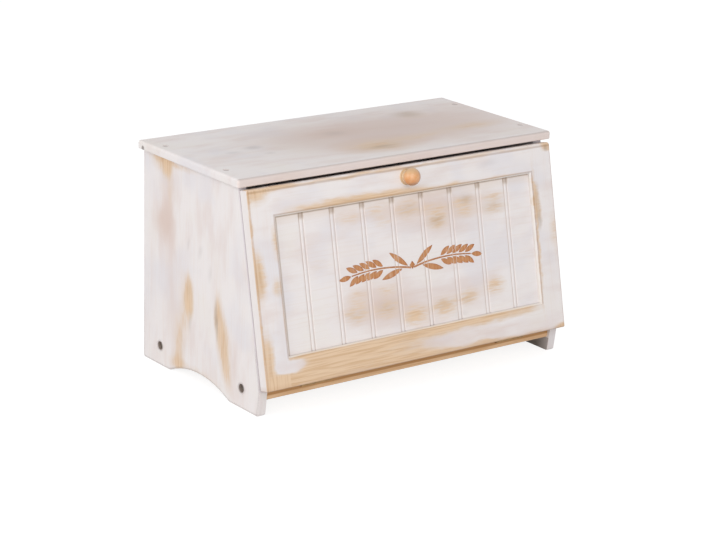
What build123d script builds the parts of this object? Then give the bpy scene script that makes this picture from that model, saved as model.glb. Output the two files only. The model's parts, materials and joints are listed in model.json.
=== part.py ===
from build123d import *
import os
from math import cos, radians, sin, sqrt, tan

# A slant-front bread box with a drop-down door, as its separate pieces, in millimetres.
# X runs to the right of someone facing the door, Y to the back, Z up.
# The origin is on the counter, under the middle of the box, and the door is shut.

# Carcass
body_width = 400.0
body_height = 235.0
foot_depth = 222.0
foot_height = 28.0
toe_forward = 3.8
door_lean = 12.0
side_thickness = 10.0
side_edge_radius = 1.2
foot_corner_radius = 3.0
arch_rise = 13.0
arch_half_span = 58.0
arch_corner_radius = 12.0

# Top board
top_thickness = 9.0
top_side_overhang = 6.5
top_front_overhang = 9.0
top_rear_overhang = 2.0
top_corner_radius = 3.0
top_edge_radius = 2.8
top_under_radius = 1.1

# Bottom board and back panel
board_thickness = 10.0
board_height = 15.7
board_setback = 4.8
board_edge_radius = 2.5
back_thickness = 5.0
rabbet_width = 5.0
back_side_gap = 0.3

# Door frame
door_thickness = 14.0
door_side_inset = 0.5
door_top_gap = 1.5
door_hinge_gap = 2.1
door_seat_gap = 0.3
door_edge_radius = 1.5
door_top_radius = 3.0
stile_width = 31.0
top_rail_width = 30.8
bottom_rail_width = 31.8
sticking_chamfer = 1.75
groove_depth = 9.0
groove_slack = 0.1
tenon_end_gap = 0.5

# Beaded door panel
panel_recess = 4.2
panel_thickness = 5.0
panel_edge_gap = 1.0
bead_pitch = 38.7
bead_width = 4.6
quirk_width = 1.3
quirk_depth = 1.3
bead_crown_drop = 0.15

# Knob
knob_diameter = 19.0
knob_depth = 16.6
knob_side_radius = 7.4
knob_projection = 17.9
knob_base_diameter = 17.4
knob_base_height = 1.6
knob_neck_diameter = 12.0
knob_neck_height = 3.4
knob_drop = 12.1

# Butt hinges
hinge_inset = 69.5
hinge_length = 38.0
leaf_width = 16.0
leaf_thickness = 0.9
leaf_corner_radius = 2.0
knuckle_radius = 2.0
knuckle_count = 5
knuckle_end_gap = 0.1
knuckle_notch_gap = 0.35
pin_radius = 1.1
pin_fit_fixed = 0.02
pin_fit_moving = 0.05
pin_head_radius = 1.6
pin_head_height = 0.5
leaf_screw_spread = 12.0
leaf_screw_inset = 5.0

# Fasteners
screw_fit = 0.05
screw_hole_slack = 1.0
screw_tip_length = 3.0
screw_tip_radius = 0.25
screw_head_bevel = 0.9
carcass_screw_radius = 1.6
carcass_screw_clearance = 0.4
carcass_screw_head_height = 2.2
board_screw_head_radius = 3.4
board_screw_length = 28.0
board_screw_rise = 1.5
board_screw_bore_radius = 4.7
board_screw_bore_depth = 5.0
board_screw_rear_margin = 34.0
board_screw_front_margin = 29.0
top_screw_head_radius = 2.8
top_screw_length = 28.0
top_screw_rear_margin = 36.0
top_screw_front_margin = 30.0
plug_radius = 3.1
plug_bore_depth = 5.4
plug_sink = 0.6
plug_fit = 0.05
hinge_screw_radius = 1.25
hinge_screw_length = 8.5
knob_screw_radius = 1.9
knob_screw_clearance = 0.2
knob_screw_head_radius = 3.8
knob_screw_head_height = 2.2
knob_screw_bite = 10.0
brad_radius = 0.7
brad_head_radius = 1.3
brad_head_height = 0.5
brad_length = 14.0
brads_per_side = 4
brad_end_margin = 22.0
board_brad_margin = 70.0

# How far a cut runs past the wood, and how near two places count as one
cut_past = 1.0
same_place = 0.01

# Values worked out from the sizes above
slope = radians(door_lean)
half_width = body_width / 2
inner_half_width = half_width - side_thickness
toe_depth = foot_depth + toe_forward
side_top_depth = toe_depth - (body_height - foot_height) * tan(slope)
board_top = board_height + board_thickness
board_front_depth = toe_depth - board_setback
pivot_z = board_top + leaf_thickness
slant_depth_at_pivot = toe_depth + (foot_height - pivot_z) * tan(slope)
pivot_depth = slant_depth_at_pivot - (leaf_thickness - door_seat_gap) / cos(slope)

# In the door's own upright frame, the hinge axis is at zero
door_back = -leaf_thickness
door_front = door_back - door_thickness
door_bottom = door_hinge_gap
front_corner_z = pivot_z + door_bottom * cos(slope) - door_front * sin(slope)
door_length = (body_height - door_top_gap - front_corner_z) / cos(slope)
door_top = door_bottom + door_length
door_half_width = half_width - door_side_inset
opening_half_width = door_half_width - stile_width
opening_bottom = door_bottom + bottom_rail_width
opening_top = door_top - top_rail_width
panel_front = door_front + panel_recess
panel_back = panel_front + panel_thickness
knob_z = door_top - knob_drop
hinge_x = door_half_width - hinge_inset
hinge_screw_head_radius = hinge_screw_radius + leaf_thickness

# The box reaches from the rounded lower edge of the door to the rear edge of the top board
rounding = door_edge_radius * (cos(slope) + sin(slope) - 1)
toe_reach = pivot_depth - door_front * cos(slope) - door_bottom * sin(slope) - rounding
rear_y = (toe_reach - top_rear_overhang) / 2


def y_at(depth):
    """The Y of a place that lies depth in front of the rear face of the side panels."""
    return rear_y - depth


pivot_y = y_at(pivot_depth)
hinged = Pos(0, pivot_y, pivot_z) * Rot(-door_lean, 0, 0)


def block(x_range, y_range, z_range):
    """A box between two corners."""
    centre = [sum(pair) / 2 for pair in (x_range, y_range, z_range)]
    size = [abs(pair[1] - pair[0]) for pair in (x_range, y_range, z_range)]
    return Pos(*centre) * Box(*size)


def rod(start, direction, radius, length):
    """A round bar or hole that starts at a point and runs along a direction."""
    base = Plane(origin=start, z_dir=direction)
    return base * Cylinder(radius, length, align=(Align.CENTER, Align.CENTER, Align.MIN))


def turned(points, start, direction):
    """A solid of revolution from radius and height pairs, standing on a point."""
    profile = Plane.XZ * make_face(Polyline(*points, close=True))
    return Plane(origin=start, z_dir=direction) * revolve(profile, axis=Axis.Z)


def pan_screw(seat, direction, radius, length, head_radius, head_height):
    """A wood screw whose raised head sits on seat, with the shank along direction."""
    return turned(
        [
            (0, -head_height),
            (head_radius - screw_head_bevel, -head_height),
            (head_radius, screw_head_bevel - head_height),
            (head_radius, 0),
            (radius, 0),
            (radius, length - screw_tip_length),
            (screw_tip_radius, length),
            (0, length),
        ],
        seat,
        direction,
    )


def flat_screw(seat, direction, radius, length, head_radius):
    """A countersunk wood screw, flush with the face that seat lies on."""
    return turned(
        [
            (0, 0),
            (head_radius, 0),
            (radius, head_radius - radius),
            (radius, length - screw_tip_length),
            (screw_tip_radius, length),
            (0, length),
        ],
        seat,
        direction,
    )


def countersink(seat, direction, radius, head_radius):
    """The hole that a countersunk screw head and its shank pass through."""
    reach = head_radius - radius
    return turned(
        [
            (0, -cut_past),
            (head_radius + screw_fit, -cut_past),
            (head_radius + screw_fit, 0),
            (radius + screw_fit, reach),
            (radius + screw_fit, reach + cut_past),
            (0, reach + cut_past),
        ],
        seat,
        direction,
    )


def mirrored(shape):
    """The same piece for the other side of the box."""
    return mirror(shape, about=Plane.YZ)


# Where the fasteners go
board_middle_z = board_height + board_thickness / 2
board_screw_z = board_middle_z + board_screw_rise
board_screw_depths = (board_screw_rear_margin, board_front_depth - board_screw_front_margin)
top_screw_depths = (top_screw_rear_margin, side_top_depth - top_screw_front_margin)
top_screw_x = half_width - side_thickness / 2
top_screw_seat_z = body_height + top_thickness - plug_bore_depth
board_screw_seat_x = half_width - board_screw_bore_depth
brad_x = inner_half_width + rabbet_width / 2
brad_bottom_z = board_top + brad_end_margin
brad_step = (body_height - brad_end_margin - brad_bottom_z) / (brads_per_side - 1)
brad_heights = [brad_bottom_z + brad_step * i for i in range(brads_per_side)]
board_brad_x = inner_half_width - board_brad_margin
board_brads = [(side * board_brad_x, board_middle_z) for side in (-1, 0, 1)]
side_brads = [(side * brad_x, z) for side in (-1, 1) for z in brad_heights]
inward = (1, 0, 0)
outward = (-1, 0, 0)
forward = (0, -1, 0)
up = (0, 0, 1)
down = (0, 0, -1)


def side_profile():
    """The outline of a side panel, with the slanted front edge and the arch between its feet."""
    outline = Polyline(
        (y_at(0), 0),
        (y_at(0), body_height),
        (y_at(side_top_depth), body_height),
        (y_at(toe_depth), foot_height),
        (y_at(foot_depth), 0),
        close=True,
    )
    middle = y_at(foot_depth / 2)
    arch_radius = (arch_half_span**2 + arch_rise**2) / (2 * arch_rise)
    sheet = make_face(outline) - Pos(middle, arch_rise - arch_radius) * Circle(arch_radius)
    floor_corners = sheet.vertices().group_by(Axis.Y)[0].sort_by(Axis.X)
    sheet = fillet(floor_corners[1:3], arch_corner_radius)
    floor_corners = sheet.vertices().group_by(Axis.Y)[0].sort_by(Axis.X)
    return fillet([floor_corners[0], floor_corners[-1]], foot_corner_radius)


def make_left_side():
    """The left side panel: slanted front, arched foot, rear rabbet and screw holes."""
    panel = extrude(Plane.YZ * side_profile(), side_thickness)
    panel = Pos(-half_width, 0, 0) * panel
    outer_face = panel.faces().sort_by(Axis.X)[0]
    inner_face = panel.faces().sort_by(Axis.X)[-1]
    sharp = outer_face.edges() + inner_face.edges()
    sharp = [edge for edge in sharp if edge.center().Z < body_height - same_place]
    panel = fillet(sharp, side_edge_radius)
    rabbet_edge = -inner_half_width - rabbet_width
    panel -= block(
        (rabbet_edge, -inner_half_width + cut_past),
        (y_at(back_thickness), y_at(-cut_past)),
        (board_height, body_height + cut_past),
    )
    for depth in board_screw_depths:
        seat = (-board_screw_seat_x, y_at(depth), board_screw_z)
        clearance = carcass_screw_radius + carcass_screw_clearance
        panel -= rod(seat, outward, board_screw_bore_radius, board_screw_bore_depth + cut_past)
        panel -= rod(seat, inward, clearance, side_thickness)
    for depth in top_screw_depths:
        hole_depth = top_screw_length - (top_screw_seat_z - body_height) + screw_hole_slack
        top_edge = (-top_screw_x, y_at(depth), body_height)
        panel -= rod(top_edge, down, carcass_screw_radius + screw_fit, hole_depth)
    for z in brad_heights:
        bite = brad_length - back_thickness
        panel -= rod((-brad_x, y_at(back_thickness), z), forward, brad_radius + screw_fit, bite)
    return panel


def make_bottom_board():
    """The bottom board, screwed between the side panels."""
    board = block(
        (-inner_half_width, inner_half_width),
        (y_at(back_thickness), y_at(board_front_depth)),
        (board_height, board_top),
    )
    board = fillet(board.edges().filter_by(Axis.X).group_by(Axis.Y)[0], board_edge_radius)
    bite = board_screw_length - (board_screw_seat_x - inner_half_width) + screw_hole_slack
    for side, direction in ((-1, inward), (1, outward)):
        for depth in board_screw_depths:
            end = (side * inner_half_width, y_at(depth), board_screw_z)
            board -= rod(end, direction, carcass_screw_radius + screw_fit, bite)
    for x, z in board_brads:
        start = (x, y_at(back_thickness), z)
        board -= rod(start, forward, brad_radius + screw_fit, brad_length - back_thickness)
    for x in hinge_screw_xs():
        seat = (x, y_at(pivot_depth - leaf_width + leaf_screw_inset), board_top)
        board -= rod(seat, down, hinge_screw_radius + screw_fit, hinge_screw_length)
    return board


def make_top_board():
    """The top board, with softened edges and counterbores for the plugged screws."""
    depth = side_top_depth + top_front_overhang + top_rear_overhang
    board = block(
        (-half_width - top_side_overhang, half_width + top_side_overhang),
        (y_at(-top_rear_overhang), y_at(depth - top_rear_overhang)),
        (body_height, body_height + top_thickness),
    )
    board = fillet(board.edges().filter_by(Axis.Z), top_corner_radius)
    board = fillet(board.faces().sort_by(Axis.Z)[-1].edges(), top_edge_radius)
    board = fillet(board.faces().sort_by(Axis.Z)[0].edges(), top_under_radius)
    for side in (-1, 1):
        for screw_depth in top_screw_depths:
            seat = (side * top_screw_x, y_at(screw_depth), top_screw_seat_z)
            clearance = carcass_screw_radius + carcass_screw_clearance
            board -= rod(seat, up, plug_radius + plug_fit, plug_bore_depth + cut_past)
            board -= rod(seat, down, clearance, top_thickness)
    return board


def make_back_panel():
    """The thin back panel, set in the rabbets of the side panels and nailed from behind."""
    reach = inner_half_width + rabbet_width - back_side_gap
    panel = block((-reach, reach), (y_at(0), y_at(back_thickness)), (board_height, body_height))
    for x, z in side_brads + board_brads:
        face = (x, y_at(0), z)
        panel -= rod(face, forward, brad_radius + screw_fit, back_thickness + cut_past)
    return panel


def make_brads():
    """The nails of the back panel, whose flat heads lie on it."""
    nail = [
        (0, -brad_head_height),
        (brad_head_radius, -brad_head_height),
        (brad_head_radius, 0),
        (brad_radius, 0),
        (brad_radius, brad_length),
        (0, brad_length),
    ]
    return [turned(nail, (x, y_at(0), z), forward) for x, z in side_brads + board_brads]


def make_board_screws():
    """The four screws that hold the bottom board, sunk in the side panels."""
    return [
        pan_screw(
            (side * board_screw_seat_x, y_at(depth), board_screw_z),
            direction,
            carcass_screw_radius,
            board_screw_length,
            board_screw_head_radius,
            carcass_screw_head_height,
        )
        for side, direction in ((-1, inward), (1, outward))
        for depth in board_screw_depths
    ]


def make_top_screws():
    """The four screws that hold the top board, under their plugs."""
    return [
        pan_screw(
            (side * top_screw_x, y_at(depth), top_screw_seat_z),
            down,
            carcass_screw_radius,
            top_screw_length,
            top_screw_head_radius,
            carcass_screw_head_height,
        )
        for side in (-1, 1)
        for depth in top_screw_depths
    ]


def make_top_plugs():
    """The wooden plugs over the top screws, a little below the surface."""
    start_z = top_screw_seat_z + carcass_screw_head_height
    height = plug_bore_depth - carcass_screw_head_height - plug_sink
    return [
        rod((side * top_screw_x, y_at(depth), start_z), up, plug_radius, height)
        for side in (-1, 1)
        for depth in top_screw_depths
    ]


def door_blank():
    """The door's outer shape with its rounded arrises, from which the frame pieces are cut."""
    blank = block(
        (-door_half_width, door_half_width), (door_front, door_back), (door_bottom, door_top)
    )
    long_edges = blank.edges().filter_by(Axis.X)
    blank = fillet(long_edges.group_by(Axis.Y)[0].sort_by(Axis.Z)[-1], door_top_radius)
    ends = blank.faces().filter_by(Axis.X)
    sharp = [edge for end in ends for edge in end.edges()]
    long_edges = blank.edges().filter_by(Axis.X)
    sharp += long_edges.group_by(Axis.Z)[0]
    sharp += long_edges.group_by(Axis.Y)[-1].sort_by(Axis.Z)[-1:]
    return fillet(sharp, door_edge_radius)


def sticking(x_side):
    """The stile as the rail ends see it: its full section with the chamfered inner arris."""
    inner = x_side * opening_half_width
    outer = x_side * (door_half_width + cut_past)
    section = Polyline(
        (outer, door_front),
        (inner + x_side * sticking_chamfer, door_front),
        (inner, door_front + sticking_chamfer),
        (inner, door_back),
        (outer, door_back),
        close=True,
    )
    return Pos(0, 0, door_bottom) * extrude(make_face(section), door_length)


def make_left_stile():
    """The left upright of the door, grooved for the panel and the rails' tenons."""
    stile = door_blank() & sticking(-1)
    stile -= block(
        (-opening_half_width - groove_depth, -opening_half_width + cut_past),
        (panel_front - groove_slack, panel_back + groove_slack),
        (door_bottom - cut_past, door_top + cut_past),
    )
    return hinged * stile


def make_rail(low, high, inner_edge, groove_side):
    """A rail with coped ends, stub tenons, a chamfered inner arris and a panel groove."""
    reach = opening_half_width + sticking_chamfer
    span = block((-reach, reach), (door_front - cut_past, door_back + cut_past), (low, high))
    rail = door_blank() & span
    for x_side in (-1, 1):
        rail -= sticking(x_side)
    arris = inner_edge - groove_side * sticking_chamfer
    beyond = inner_edge + groove_side * cut_past
    wedge = make_face(
        Polyline(
            (door_front, arris),
            (door_front + sticking_chamfer, inner_edge),
            (door_front + sticking_chamfer, beyond),
            (door_front - cut_past, beyond),
            (door_front - cut_past, arris),
            close=True,
        )
    )
    rail -= extrude(Plane.YZ * wedge, reach + cut_past, both=True)
    tenon_reach = opening_half_width + groove_depth - tenon_end_gap
    tenon_low = max(low, door_bottom + door_edge_radius)
    tenon_high = min(high, door_top - door_edge_radius)
    rail += block((-tenon_reach, tenon_reach), (panel_front, panel_back), (tenon_low, tenon_high))
    groove_floor = inner_edge - groove_side * groove_depth
    groove = block(
        (-tenon_reach - cut_past, tenon_reach + cut_past),
        (panel_front - groove_slack, panel_back + groove_slack),
        (groove_floor, inner_edge + groove_side * cut_past),
    )
    return rail - groove


def make_top_rail():
    """The upper rail of the door, drilled for the knob's screw."""
    rail = make_rail(opening_top, door_top, opening_top, -1)
    hole = knob_screw_radius + knob_screw_clearance
    rail -= rod((0, door_back + cut_past, knob_z), forward, hole, door_thickness + 2 * cut_past)
    return hinged * rail


def make_bottom_rail():
    """The lower rail of the door, drilled for the hinge screws."""
    rail = make_rail(door_bottom, opening_bottom, opening_bottom, 1)
    for x in hinge_screw_xs():
        seat = (x, door_back, leaf_width - leaf_screw_inset)
        rail -= rod(seat, forward, hinge_screw_radius + screw_fit, hinge_screw_length)
    return hinged * rail


def bead_cut():
    """The strip that the cutter takes out beside and over one bead of the panel."""
    edge = bead_width / 2 + quirk_width
    floor = panel_front + quirk_depth
    above = panel_front - cut_past
    sides = Polyline(
        (bead_width / 2, floor),
        (edge, panel_front),
        (edge, above),
        (-edge, above),
        (-edge, panel_front),
        (-bead_width / 2, floor),
    )
    crown = ThreePointArc(
        (-bead_width / 2, floor), (0, panel_front + bead_crown_drop), (bead_width / 2, floor)
    )
    return make_face(sides + crown)


def make_bead_panel():
    """The beaded panel, loose in the grooves of the frame."""
    reach = opening_half_width + groove_depth - panel_edge_gap
    low = opening_bottom - groove_depth + panel_edge_gap
    high = opening_top + groove_depth - panel_edge_gap
    panel = block((-reach, reach), (panel_front, panel_back), (low, high))
    bead_count = 2 * int(opening_half_width / bead_pitch)
    cutter = extrude(bead_cut(), high - low + 2 * cut_past)
    for i in range(bead_count):
        x = (i - (bead_count - 1) / 2) * bead_pitch
        panel -= Pos(x, 0, low - cut_past) * cutter
    return hinged * panel


def make_knob():
    """The turned wooden knob: a slightly flattened ball over a round foot, with a waist between."""
    radius = knob_diameter / 2
    half_depth = knob_depth / 2
    centre = knob_projection - half_depth
    foot = knob_base_diameter / 2
    inset = radius - knob_side_radius
    flatter = half_depth - knob_side_radius
    front_radius = (inset**2 + half_depth**2 - knob_side_radius**2) / (2 * flatter)
    share = front_radius / (front_radius - knob_side_radius)
    join = (inset * share, knob_projection - front_radius + (front_radius - half_depth) * share)
    drop = centre - knob_neck_height
    meet = (inset + sqrt(knob_side_radius**2 - drop**2), knob_neck_height)
    waist = (knob_neck_diameter / 2, (knob_base_height + knob_neck_height) / 2)
    profile = make_face(
        [
            Polyline((0, knob_projection), (0, 0), (foot, 0), (foot, knob_base_height)),
            ThreePointArc((foot, knob_base_height), waist, meet),
            ThreePointArc(meet, (radius, centre), join),
            RadiusArc(join, (0, knob_projection), -front_radius),
        ]
    )
    seat = Plane(origin=(0, door_front, knob_z), z_dir=forward)
    knob = seat * revolve(Plane.XZ * profile, axis=Axis.Z)
    bite = knob_screw_bite + screw_hole_slack
    knob -= rod((0, door_front, knob_z), forward, knob_screw_radius + screw_fit, bite)
    return hinged * knob


def make_knob_screw():
    """The screw that holds the knob, with its head on the back of the top rail."""
    seat = (0, door_back, knob_z)
    length = door_thickness + knob_screw_bite
    return hinged * pan_screw(
        seat,
        forward,
        knob_screw_radius,
        length,
        knob_screw_head_radius,
        knob_screw_head_height,
    )


def hinge_screw_xs():
    """The X of each hinge screw, two to a leaf."""
    return [
        side * hinge_x + screw * leaf_screw_spread
        for side in (-1, 1)
        for screw in (-1, 1)
    ]


def make_leaf(reach_side, own_knuckles, bore_fit):
    """One hinge leaf lying flat, its face in the plane of the pin, with its share of knuckles."""
    end = reach_side * leaf_width
    leaf = block((-hinge_length / 2, hinge_length / 2), (0, end), (-leaf_thickness, 0))
    far_corners = [e for e in leaf.edges().filter_by(Axis.Z) if abs(e.center().Y - end) < same_place]
    leaf = fillet(far_corners, leaf_corner_radius)
    pitch = hinge_length / knuckle_count
    notch = knuckle_radius + knuckle_notch_gap
    for i in range(knuckle_count):
        start = -hinge_length / 2 + i * pitch
        if i in own_knuckles:
            continue
        leaf -= block((start, start + pitch), (-notch, notch), (-leaf_thickness, 0))
    for i in own_knuckles:
        start = -hinge_length / 2 + i * pitch + knuckle_end_gap
        length = pitch - 2 * knuckle_end_gap
        leaf -= block((start - knuckle_end_gap, start), (-notch, notch), (-leaf_thickness, 0))
        leaf -= block(
            (start + length, start + length + knuckle_end_gap),
            (-notch, notch),
            (-leaf_thickness, 0),
        )
        leaf += rod((start, 0, 0), inward, knuckle_radius, length)
    leaf -= rod((-hinge_length, 0, 0), inward, pin_radius + bore_fit, 2 * hinge_length)
    for x in (-leaf_screw_spread, leaf_screw_spread):
        seat = (x, end - reach_side * leaf_screw_inset, 0)
        leaf -= countersink(seat, down, hinge_screw_radius, hinge_screw_head_radius)
    return leaf


def make_fixed_leaf(side):
    """The hinge leaf on the bottom board."""
    leaf = make_leaf(1, range(0, knuckle_count, 2), pin_fit_fixed)
    return Pos(side * hinge_x, pivot_y, pivot_z) * leaf


def make_moving_leaf(side):
    """The hinge leaf on the back of the door, folded up from flat."""
    leaf = make_leaf(-1, range(1, knuckle_count, 2), pin_fit_moving)
    return hinged * Pos(side * hinge_x, 0, 0) * Rot(-90, 0, 0) * leaf


def make_pin(side):
    """The hinge pin, headed at both ends."""
    end = hinge_length + pin_head_height
    profile = [
        (0, -pin_head_height),
        (pin_head_radius, -pin_head_height),
        (pin_head_radius, 0),
        (pin_radius, 0),
        (pin_radius, hinge_length),
        (pin_head_radius, hinge_length),
        (pin_head_radius, end),
        (0, end),
    ]
    return turned(profile, (side * hinge_x - hinge_length / 2, pivot_y, pivot_z), inward)


def make_hinge_board_screws():
    """The screws of the fixed leaves, in the bottom board."""
    depth = pivot_depth - leaf_width + leaf_screw_inset
    return [
        flat_screw(
            (x, y_at(depth), pivot_z),
            down,
            hinge_screw_radius,
            hinge_screw_length,
            hinge_screw_head_radius,
        )
        for x in hinge_screw_xs()
    ]


def make_hinge_door_screws():
    """The screws of the moving leaves, in the bottom rail of the door."""
    return [
        hinged
        * flat_screw(
            (x, 0, leaf_width - leaf_screw_inset),
            forward,
            hinge_screw_radius,
            hinge_screw_length,
            hinge_screw_head_radius,
        )
        for x in hinge_screw_xs()
    ]


left_side = make_left_side()
left_stile = make_left_stile()

nodes = {
    "left_side_panel": left_side,
    "right_side_panel": mirrored(left_side),
    "bottom_board": make_bottom_board(),
    "top_board": make_top_board(),
    "back_panel": make_back_panel(),
    "back_panel_brads": make_brads(),
    "bottom_board_screws": make_board_screws(),
    "top_board_screws": make_top_screws(),
    "top_board_plugs": make_top_plugs(),
    "door_left_stile": left_stile,
    "door_right_stile": mirrored(left_stile),
    "door_top_rail": make_top_rail(),
    "door_bottom_rail": make_bottom_rail(),
    "door_bead_panel": make_bead_panel(),
    "door_knob": make_knob(),
    "knob_screw": make_knob_screw(),
    "hinge_board_screws": make_hinge_board_screws(),
    "hinge_door_screws": make_hinge_door_screws(),
}
for hinge_name, hinge_side in (("left", -1), ("right", 1)):
    nodes[f"{hinge_name}_hinge_fixed_leaf"] = make_fixed_leaf(hinge_side)
    nodes[f"{hinge_name}_hinge_moving_leaf"] = make_moving_leaf(hinge_side)
    nodes[f"{hinge_name}_hinge_pin"] = make_pin(hinge_side)

os.makedirs("parts", exist_ok=True)
for name, shape in nodes.items():
    solids = shape if isinstance(shape, list) else [shape]
    export_step(Compound(children=[s for piece in solids for s in piece.solids()]), f"parts/{name}.step")

print(f"hinge axis at y {pivot_y:.3f}, z {pivot_z:.3f}")
print(f"door length {door_length:.2f}, knob height on the door {knob_z:.2f}")
print(f"rear face of the side panels at y {rear_y:.3f}")
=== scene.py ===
import json
from math import atan2, cos, pi, radians, sin

import bmesh
import bpy
from mathutils import Matrix, Vector


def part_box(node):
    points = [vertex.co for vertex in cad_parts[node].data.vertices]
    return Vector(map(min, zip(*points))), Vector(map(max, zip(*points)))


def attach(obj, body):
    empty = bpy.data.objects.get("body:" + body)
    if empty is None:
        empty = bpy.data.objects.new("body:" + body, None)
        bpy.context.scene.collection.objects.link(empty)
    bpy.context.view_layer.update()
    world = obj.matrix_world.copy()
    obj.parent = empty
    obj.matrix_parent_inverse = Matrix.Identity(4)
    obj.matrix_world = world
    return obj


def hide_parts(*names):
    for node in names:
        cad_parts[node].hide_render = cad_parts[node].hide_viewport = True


# The look of a whitewashed bread box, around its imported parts.
# Places and sizes on the boards are in millimetres, lights and camera in metres.

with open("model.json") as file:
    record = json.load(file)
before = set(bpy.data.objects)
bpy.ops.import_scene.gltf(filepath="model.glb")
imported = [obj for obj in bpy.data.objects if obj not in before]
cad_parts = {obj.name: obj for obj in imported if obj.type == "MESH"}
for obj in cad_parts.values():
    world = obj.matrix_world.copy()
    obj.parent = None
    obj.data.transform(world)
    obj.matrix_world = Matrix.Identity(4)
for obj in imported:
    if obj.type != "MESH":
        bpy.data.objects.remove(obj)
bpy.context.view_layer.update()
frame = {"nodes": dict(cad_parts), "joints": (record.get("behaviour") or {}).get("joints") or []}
nodes = frame["nodes"]
hinge = Vector(frame["joints"][0]["pos_m"])
lean = radians(12)

# Camera
camera_place = (-1.4218, -1.8937, 0.8276)
camera_yaw = radians(36.91)
camera_pitch = radians(17.13)
camera_roll = radians(1.64)
lens_mm = 114.06
sensor_mm = 36.0


def seen(red, green, blue):
    """A colour given as it looks on a screen, in linear light."""
    return tuple(((channel / 255 + 0.055) / 1.055) ** 2.4 for channel in (red, green, blue))


# Colours
paint_white = seen(238, 232, 231)
paint_rose = seen(229, 217, 214)
paint_cool = seen(228, 224, 228)
paint_cream = seen(237, 231, 224)
rose_stain_and_shade = seen(219, 197, 187)
thin_paint_and_shade = seen(226, 205, 186)
pine_light = seen(230, 201, 170)
pine_gold = seen(216, 182, 146)
pine_dark = seen(172, 132, 94)
dirt_and_shade = seen(128, 116, 112)
seam_shade_grey = seen(178, 169, 178)
glaze_and_shade_brown = seen(160, 136, 112)
hole_brown = seen(158, 144, 134)
foot_shade_pale = seen(196, 188, 186)
foot_shade_dark = seen(112, 102, 94)
line_brown = seen(146, 102, 62)
seam_gold = seen(176, 119, 52)
groove_tan = seen(196, 176, 164)
carved_brown = seen(186, 124, 76)
carved_light = seen(206, 152, 106)
knob_gold = seen(228, 168, 110)
knob_brown = seen(210, 136, 78)
knob_pale = seen(232, 208, 172)
knob_dull = seen(206, 172, 130)
painted_knob_shade = seen(146, 104, 70)
board_tint = (1.0, 0.98, 0.94)
front_tint = (1.08, 0.98, 0.86)
brass_brown = (0.36, 0.22, 0.085)
screw_steel = (0.34, 0.31, 0.28)
nail_steel = (0.45, 0.44, 0.42)

# The door, seen from its hinge axis: along the axis, up the door, and through it
door_face = -14.9
door_low = 2.1
door_high = 208.4
door_half_width = 199.5
knob_up = 196.3
panel_face = -10.7
groove_depth = 1.3
opening_left = -168.5
opening_right = 168.5
opening_low = 33.9
opening_high = 177.5
sticking_chamfer = 1.75
bead_pitch = 38.7
bead_half = 3.4

# Side panels
half_width = 200.0
side_thickness = 10.0
counterbore_radius = 5.0

# Where each layout's inner face ends and its outer face begins, through the board
face_change = {
    "side": (192, 196),
    "top": (237, 240),
    "upright": (115, 117.5),
    "door": (-5.5, -8.5),
}

# Carved sprig
sprig_centre = (0.0, 102.3)
sprig_reach = 95.0
sprig_rise = 5.5
sprig_drop = 3.0
carving_depth = 1.1
stem_start = 2.0
stem_steps = 14
stem_width = 2.0
stem_taper = 0.35
kernel_length = 15.5
kernel_width = 5.6
kernel_pitch = 8.2
kernel_pairs = 5
kernel_foot = 1.9
kernel_spread = 0.55
leaf_starts = ((6.0, 1), (13.0, -1))
leaf_length = 29.0
leaf_width = 6.4
leaf_foot = 1.6
leaf_spread = 0.44
bud_half_width = 3.6
bud_half_height = 4.4

# Light: place, size and power of each lamp, then the strengths of the world and the floor
lamps = {
    "front_lamp": ((-0.9, -2.6, 1.3), 2.2, 34),
    "side_lamp": ((-2.6, -0.2, 1.2), 2.0, 26),
}
lamp_aim = (0, 0, 0.1)
world_light = 0.55
floor_grey = 0.68
floor_shade = 0.30
floor_glow = 0.85
floor_radius = 12.0
floor_corners = 32

# Worn, stained and smudged places on the boards, and on the top two broad patches of painted shade: centre,
# half size, strength and, where one leans, its tilt in degrees.
# A negative strength leaves paint where its neighbours would rub it away.
side_worn = [
    ((80, 228), (24, 13), 0.50),
    ((72, 222), (13, 15), 0.50),
    ((62, 231), (56, 5), 0.40),
    ((66, 204), (7, 34), 0.28),
    ((27, 95), (10, 26), 0.95, -3),
    ((35, 80), (12, 42), 0.42, -8),
    ((46, 38), (13, 40), 0.50),
    ((50, 12), (16, 16), 0.40),
    ((-27, 92), (7, 26), 0.36),
    ((-37, 64), (14, 46), 0.76, -11),
    ((-47, 28), (11, 26), 0.32, -11),
    ((18, 12), (54, 8), 0.30),
]
side_rosy = [
    ((70, 188), (24, 64), 0.62),
    ((80, 163), (24, 26), 0.42),
    ((62, 112), (20, 66), 0.34),
    ((55, 50), (34, 60), 0.36),
    ((100, 120), (11, 130), 0.22),
    ((-56, 26), (14, 40), 0.45),
    ((-26, 130), (12, 66), 0.22),
    ((10, 60), (20, 66), 0.15),
]
side_smudges = [
    ((30, 150), (4, 9), 0.14, 25),
    ((7, 147), (4, 11), 0.12, 25),
    ((-13, 128), (4, 11), 0.12),
    ((-25, 82), (3.5, 24), 0.34, -5),
    ((26, 66), (4, 14), 0.16),
    ((28, 100), (6, 14), 0.10),
]
other_side_worn = [
    ((40, 226), (24, 10), 0.60),
    ((46, 208), (7, 32), 0.40),
    ((74, 100), (9, 40), 0.80, 5),
    ((62, 62), (10, 38), 0.40, 12),
    ((-20, 64), (8, 38), 0.75, -14),
    ((-56, 120), (8, 44), 0.45, -12),
    ((16, 12), (54, 8), 0.30),
]
other_side_rosy = [
    ((50, 170), (22, 60), 0.50),
    ((90, 60), (20, 70), 0.35),
    ((0, 120), (18, 80), 0.25),
    ((-66, 30), (12, 36), 0.40),
]
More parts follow.
